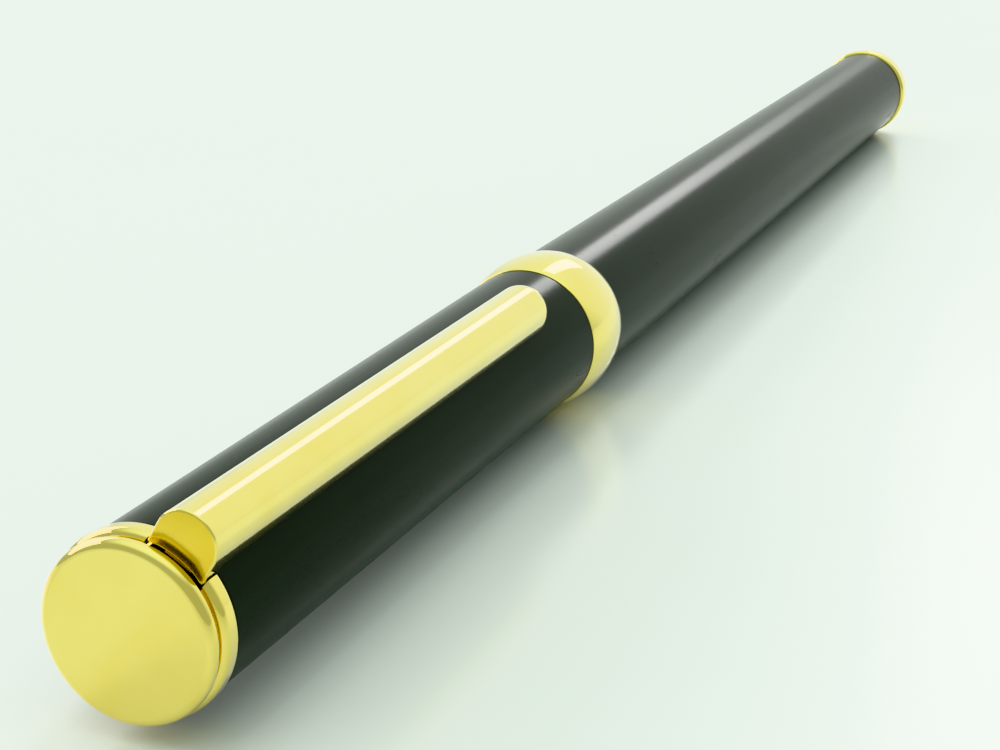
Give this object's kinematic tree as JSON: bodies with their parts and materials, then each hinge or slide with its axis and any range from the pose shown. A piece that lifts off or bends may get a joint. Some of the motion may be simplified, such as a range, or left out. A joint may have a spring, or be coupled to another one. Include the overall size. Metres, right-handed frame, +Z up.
{
  "type": "rollerball pen",
  "caption": "Slim capped rollerball pen with a round lacquered body, gold clip, crown, centre band and tail, built as separate moving pieces.",
  "frame": {"origin": "centre of the flat gold disc on top of the cap", "axes": "+X along the pen from the cap's top to the tail, +Z up as the pen lies, clip leaning 32 degrees from +Z towards -Y"},
  "size_m": [0.137, 0.0098, 0.0111],
  "materials": {
    "gold_plate": "polished pale gold plating over brass",
    "black_lacquer": "high gloss black lacquer over brass",
    "bare_brass": "fine turned brass",
    "spring_steel": "drawn steel wire and turned steel",
    "inner_plastic": "natural moulded plastic",
    "grip_rubber": "matt black rubber",
    "refill_metal": "satin drawn steel tube",
    "ink_fibre": "fibre soaked with blue-black ink",
    "carbide": "ground carbide ball"
  },
  "bodies": {
    "barrel": {"barrel_tube": "black_lacquer", "barrel_bush": "bare_brass", "tail_ring": "gold_plate", "tail_plug": "gold_plate", "spring_seat": "inner_plastic", "refill_spring": "spring_steel"},
    "collar": {"section_collar": "gold_plate"},
    "section": {"section_grip": "black_lacquer", "section_sleeve": "bare_brass", "section_nose": "gold_plate", "section_o_ring": "grip_rubber"},
    "refill": {"refill_tube": "refill_metal", "refill_cone": "inner_plastic", "refill_tip": "bare_brass", "refill_feed": "ink_fibre", "refill_fibre": "ink_fibre", "refill_plug": "inner_plastic"},
    "ball": {"refill_ball": "carbide"},
    "clutch": {"cap_clutch": "spring_steel"},
    "cap": {"cap_top_disc": "gold_plate", "crown_ring": "gold_plate", "clip_pin": "spring_steel", "clip_spring": "spring_steel", "cap_tube": "black_lacquer", "centre_band": "gold_plate", "cap_liner": "inner_plastic", "cap_screw": "spring_steel", "cap_washer": "spring_steel", "cap_seal": "grip_rubber"},
    "clip": {"clip": "gold_plate"}
  },
  "joints": [
    {"name": "section_out", "type": "slide", "parent": "barrel", "child": "collar", "axis": [-1, 0, 0], "range_m": [0, 0.006]},
    {"name": "section_turn", "type": "hinge", "parent": "collar", "child": "section", "pos_m": [0.0516, 0, 0], "axis": [-1, 0, 0], "range_deg": [0, 2160]},
    {"name": "refill_push", "type": "slide", "parent": "section", "child": "refill", "axis": [1, 0, 0], "range_m": [0, 0.0015], "stiffness_N_per_m": 300, "springref_m": -0.002, "deforming": ["refill_spring"]},
    {"name": "ball_roll", "type": "hinge", "parent": "refill", "child": "ball", "pos_m": [0.01085, 0, 0], "axis": [0, 1, 0], "continuous": true},
    {"name": "cap_pull", "type": "slide", "parent": "section", "child": "clutch", "axis": [-1, 0, 0], "range_m": [0, 0.045]},
    {"name": "cap_turn", "type": "hinge", "parent": "clutch", "child": "cap", "pos_m": [0.0429, 0, 0], "axis": [1, 0, 0], "continuous": true},
    {"name": "clip_open", "type": "hinge", "parent": "cap", "child": "clip", "pos_m": [0.004, -0.00162, 0.00259], "axis": [0, -0.848, -0.5299], "range_deg": [0, 3], "stiffness_Nm_per_rad": 0.35, "springref_deg": -5.73, "deforming": ["clip_spring"]}
  ],
  "couplings": [
    {"joint": "section_turn", "follows": "section_out", "rad_per_m": 6283.2}
  ]
}
